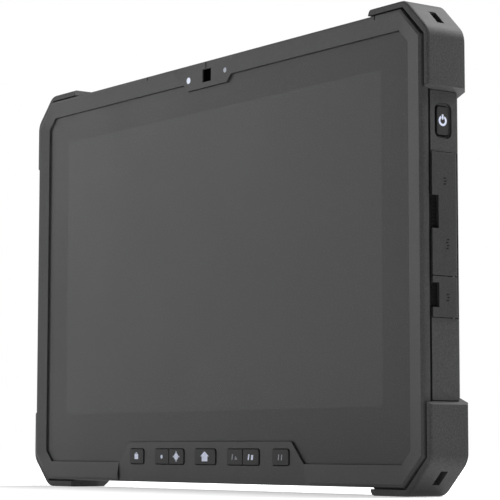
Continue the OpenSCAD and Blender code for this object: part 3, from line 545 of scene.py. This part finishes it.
# ---------------------------------------------------------------- door marks
def stroke_column(count):
    """Short leaning strokes, one above another, about the column's middle."""
    pitch, height, width, slant = 1.25, 0.65, 1.3, 0.5
    bottoms = [i * pitch - count * 0.6 for i in range(count)]
    return [lean(-0.9 + 0.4 * (i % 2), v, v + height, width, slant) for i, v in enumerate(bottoms)]


# Each door's columns: how far up it, how many strokes, and how far across it
for door, columns in (
    ("long_port_door", [(0.77, 3, 0.48), (0.26, 4, 0.56)]),
    ("short_port_door", [(0.5, 3, 0.56)]),
    ("left_port_door", [(0.77, 3, 0.5), (0.25, 4, 0.5)]),
):
    low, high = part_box(door)
    side = -1 if door.startswith("left") else 1
    x = low.x if side < 0 else high.x
    for group, (part, count, across) in enumerate(columns):
        y = low.y + (high.y - low.y) * across
        z = low.z + (high.z - low.z) * part
        marks(f"{door}_mark_{group + 1}", stroke_column(count), on_right(y, z, x, side), MARK, door,
              height=0.02)


# ---------------------------------------------------------------- turned and repeated detail
def turned_part(name, profile, centre, along, material, body, steps=40):
    """A solid of revolution: profile is (radius, height) in millimetres, heights along an axis."""
    axis = Vector(along)
    side = Vector((0, 0, 1))
    other = axis.cross(side)
    vertices, faces = [], []
    count = len(profile)
    for i in range(steps):
        a = 2 * math.pi * i / steps
        out = side * math.cos(a) + other * math.sin(a)
        vertices += [Vector(centre) + (out * r + axis * h) * MM for r, h in profile]
    for i in range(steps):
        here, there = i * count, (i + 1) % steps * count
        for j in range(count - 1):
            faces.append((here + j, here + j + 1, there + j + 1, there + j))
        if profile[0][0] > 0:
            faces.append((here + count - 1, here, there, there + count - 1))
    obj = make(name, vertices, faces, material, body)
    weld = obj.modifiers.new("weld", "WELD")
    weld.merge_threshold = WELD_GAP / 2
    return obj


BACK = (0.0, 1.0, 0.0)
MOUTH = (1.0, 0.0, 0.0)


def ring_profile(outer, inner, depth, round_off):
    return [(inner, 0), (inner, depth - round_off), (inner + round_off, depth),
            (outer - round_off, depth), (outer, depth - round_off), (outer, 0)]


def dome_profile(radius, rise, steps=8):
    return [(radius * math.cos(math.pi / 2 * i / steps), rise * math.sin(math.pi / 2 * i / steps))
            for i in range(steps + 1)]


def ridge_profile(radius, ridges, height):
    """Concentric ridges from the edge to the middle, like a lamp's lens."""
    step = radius / ridges
    profile = [(radius, 0)]
    for i in range(ridges):
        profile += [(radius - i * step, height), (radius - (i + 0.85) * step, height * 0.3)]
    return profile + [(0, height * 0.6)]


def rear_camera_detail():
    low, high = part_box("rear_camera")
    x, z = (low.x + high.x) / 2, (low.z + high.z) / 2
    rim = (x, high.y, z)
    turned_part("rear_camera_ring", ring_profile(4.9, 3.9, 0.42, 0.15), rim, BACK, STEEL,
                "housing")
    turned_part("rear_camera_step", ring_profile(3.85, 2.7, 0.2, 0.06), rim, BACK, DARK,
                "housing")
    turned_part("rear_camera_lens", dome_profile(2.65, 0.35), rim, BACK, LENS, "housing")
    low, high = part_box("flash_light")
    turned_part("flash_lens", ridge_profile(2.0, 6, 0.22),
                ((low.x + high.x) / 2, high.y, (low.z + high.z) / 2), BACK, LAMP, "housing")


def speaker_gauze(side):
    """Woven wires in the speaker's six slots."""
    rows, pitch, half_slot, half_unit = 6, 3.0, 0.58, 11
    low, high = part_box("speaker_units")
    middle_x = side * (high.x - half_unit * MM)
    middle_z = (low.z + high.z) / 2
    wires = []
    for row in range(rows):
        v = (row - (rows - 1) / 2) * pitch
        wires += [bar(-8.9 + 0.6 * i, v - half_slot, -8.65 + 0.6 * i, v + half_slot)
                  for i in range(30)]
        wires += [bar(-8.95, v + w - 0.1, 8.95, v + w + 0.1) for w in (-0.35, 0.35)]
    name = "speaker_gauze_right" if side > 0 else "speaker_gauze_left"
    marks(name, wires, on_back(middle_x, middle_z, high.y + 0.5 * MM), BLACK_STEEL, "housing",
          height=0.12, sink=0.12)


def battery_detail(name, side):
    """Grip ribs, a gauge of five lamps and its button on a battery's outer face."""
    low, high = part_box(name)
    x, z = (low.x + high.x) / 2, (low.z + high.z) / 2
    place = on_back(x, z, high.y)
    ribs = [(soft_box(50, 21, 4), soft_box(49.2, 20.2, 3.4))]
    ribs += [lean(-42 + 7 * i, -14, 8, 1.2, 9) for i in range(11)]
    marks(name + "_ribs", ribs, place, RUBBER, name, height=0.08)
    lamps = [disc(0.8, 31 + 3.4 * i, -25.5, 14) for i in range(5)]
    marks(name + "_gauge", lamps, place, FAINT, name, height=0.06)
    marks(name + "_gauge_button", [loop(2.1, 0.4, 28, 24.5, -25.5), disc(1.5, 24.5, -25.5, 24)],
          place, SEAL_AND_SHADE, name, height=0.08)
    arrow = [(-2.4, 24.5), (2.4, 24.5), (0.0, 27.6)]
    marks(name + "_arrow", [[(u + side * 30, v) for u, v in arrow]], place, FAINT, name,
          height=0.05)


def notch_shade_pad(door, side, part, length):
    """A dark ribbed pad on the floor of a door's pry notch, painted shade that stands in for the shadow
    deep in the notch. Its length is in millimetres.
    """
    notch_middle, notch_floor, rib_pitch = 1.85, 1.8, 1.6
    low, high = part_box(door)
    z = low.z + (high.z - low.z) * part
    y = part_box("side_frame")[0].y + notch_middle * MM
    floor = (low.x if side > 0 else high.x) + side * notch_floor * MM
    place = on_right(y, z, floor, side)
    half = length / 2 - 0.05
    # Near-black pad and ribs: painted shade on the notch's floor
    marks(door + "_notch_shade_pad", [bar(-1.7, -half, 1.7, half)], place, SEAL_AND_SHADE, door,
          height=0.15, sink=-0.01)
    count = int((length - 2) / rib_pitch)
    starts = [rib_pitch * (i - count / 2) for i in range(count)]
    ribs = [bar(-1.3, v + 0.4, 1.3, v + 1.2) for v in starts]
    marks(door + "_notch_shade_ribs", ribs, place, SEAL_AND_SHADE, door, height=0.4, sink=-0.1)


def port_detail():
    """Tongues, contacts and rings in the connectors."""
    low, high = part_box("usb_ports")
    half_port = 6.55 * MM
    for index, z in enumerate((low.z + half_port, high.z - half_port)):
        place = on_right((low.y + high.y) / 2 + 0.95 * MM, z, high.x - 1.55 * MM)
        marks(f"usb_tongue_{index + 1}", [bar(-1.1, -5.5, 1.1, 5.5)], place, DARK, "housing",
              height=0.05, sink=8.0)
        pads = [bar(-1.2, v - 0.5, -1.11, v + 0.5) for v in (-3.5, -1.2, 1.2, 3.5)]
        marks(f"usb_contacts_{index + 1}", pads, place, BRASS, "housing",
              height=-0.6, sink=7.5)
    low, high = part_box("video_port")
    place = on_right((low.y + high.y) / 2, (low.z + high.z) / 2, high.x - 1.2 * MM)
    marks("video_tongue", [bar(-0.45, -4.2, 0.45, 4.2)], place, DARK, "housing",
          height=0.0, sink=7.0)
    marks("video_contacts", [bar(-0.55, -3.9 + 0.85 * i, -0.46, -3.5 + 0.85 * i) for i in range(10)],
          place, BRASS, "housing", height=-0.4, sink=6.5)
    low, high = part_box("audio_jack")
    turned_part("audio_ring", ring_profile(2.9, 1.78, 0.12, 0.05),
                (high.x, (low.y + high.y) / 2, (low.z + high.z) / 2), MOUTH, STEEL, "housing",
                36)
    low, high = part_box("power_inlet")
    turned_part("inlet_ring", ring_profile(3.5, 2.8, 0.12, 0.05),
                (low.x, (low.y + high.y) / 2, (low.z + high.z) / 2), (-1.0, 0.0, 0.0), STEEL,
                "housing", 36)


rear_camera_detail()
speaker_gauze(1)
speaker_gauze(-1)
battery_detail("battery_left", -1)
battery_detail("battery_right", 1)
port_detail()
# Painted shade: dark pads in the doors' pry notches
notch_shade_pad("long_port_door", 1, 0.5135, 14)
notch_shade_pad("short_port_door", 1, 0.541, 10.3)
notch_shade_pad("left_port_door", -1, 0.5, 14)

# ---------------------------------------------------------------- floor and light
MIDDLE = (0.0, 0.0, 0.1)
# The floor's glow beside the object, kept low there as a painted shadow, and away from it
PAINTED_SHADOW_GLOW = 0.46
GLOW_FAR = 1.0
# Half the object's length and depth, inside which the glow stays at its lowest, a painted shadow
SHADE_HALF = (0.15, 0.012, 0.0)
# How far outside that the glow starts to rise out of the painted shadow, and where it is at its highest
PAINTED_SHADOW_FADE_START, PAINTED_SHADOW_FADE_END = 10 * MM, 80 * MM
FLOOR_HALF = 12


def floor_with_painted_shadow():
    """A pale floor that glows to plain white away from the object and glows less beside it, a painted
    shadow round its foot.
    """
    n = Nodes("floor_with_painted_shadow")
    n.colour(n.mix(n.noise(3.0, 2.0, 0.5), (0.86, 0.86, 0.87), (0.9, 0.9, 0.9)))
    n.roughness(n.remap(n.noise(40.0), 0.3, 0.7, 0.55, 0.7))
    n.bsdf.inputs["Specular IOR Level"].default_value = 0.1
    n.bsdf.inputs["Emission Color"].default_value = (1.0, 1.0, 1.0, 1.0)
    from_centre = n.vector("ABSOLUTE", n.coords)
    outside = n.vector("SUBTRACT", from_centre, SHADE_HALF)
    away = n.add("ShaderNodeVectorMath", operation="LENGTH")
    n.link(n.vector("MAXIMUM", outside, (0.0, 0.0, 0.0)), away.inputs[0])
    # Dimmer glow towards the object's foot: painted shadow on the floor
    glow_with_painted_shadow = n.remap(away.outputs["Value"], PAINTED_SHADOW_FADE_START, PAINTED_SHADOW_FADE_END, PAINTED_SHADOW_GLOW, GLOW_FAR)
    n.link(glow_with_painted_shadow, n.bsdf.inputs["Emission Strength"])
    mesh = bpy.data.meshes.new("floor")
    r = FLOOR_HALF
    mesh.from_pydata([(-r, -r, 0), (r, -r, 0), (r, r, 0), (-r, r, 0)], [], [(0, 1, 2, 3)])
    mesh.materials.append(n.mat)
    obj = bpy.data.objects.new("floor", mesh)
    bpy.context.scene.collection.objects.link(obj)


def soft_light(name, place, size, watts):
    """A square light that points at the middle of the object."""
    data = bpy.data.lights.new(name, "AREA")
    data.shape = "RECTANGLE"
    data.size = size
    data.size_y = size
    data.energy = watts
    obj = bpy.data.objects.new(name, data)
    obj.location = place
    obj.rotation_euler = (Vector(MIDDLE) - Vector(place)).to_track_quat("-Z", "Y").to_euler()
    obj.visible_camera = False
    bpy.context.scene.collection.objects.link(obj)


def studio_world(level):
    """Plain white behind the object; the light it gives is dimmer."""
    world = bpy.data.worlds.new("studio")
    world.use_nodes = True
    tree = world.node_tree
    tree.nodes.clear()
    out = tree.nodes.new("ShaderNodeOutputWorld")
    lit = tree.nodes.new("ShaderNodeBackground")
    seen = tree.nodes.new("ShaderNodeBackground")
    lit.inputs["Strength"].default_value = level
    seen.inputs["Strength"].default_value = 1.0
    seen.inputs["Color"].default_value = (1.0, 1.0, 1.0, 1.0)
    lit.inputs["Color"].default_value = (1.0, 1.0, 1.0, 1.0)
    path = tree.nodes.new("ShaderNodeLightPath")
    choose = tree.nodes.new("ShaderNodeMixShader")
    tree.links.new(path.outputs["Is Camera Ray"], choose.inputs["Fac"])
    tree.links.new(lit.outputs[0], choose.inputs[1])
    tree.links.new(seen.outputs[0], choose.inputs[2])
    tree.links.new(choose.outputs[0], out.inputs["Surface"])
    bpy.context.scene.world = world


floor_with_painted_shadow()
studio_world(0.05)
# Name, place in metres, side in metres, and power in watts
soft_light("key_left", (-1.3, -1.3, 1.5), 1.2, 11)
soft_light("low_left", (-1.7, -1.2, 0.45), 0.8, 5.6)
soft_light("side_left", (-1.9, -0.5, 0.9), 1.0, 6)
soft_light("top_back", (0.3, 1.3, 1.6), 1.2, 70)
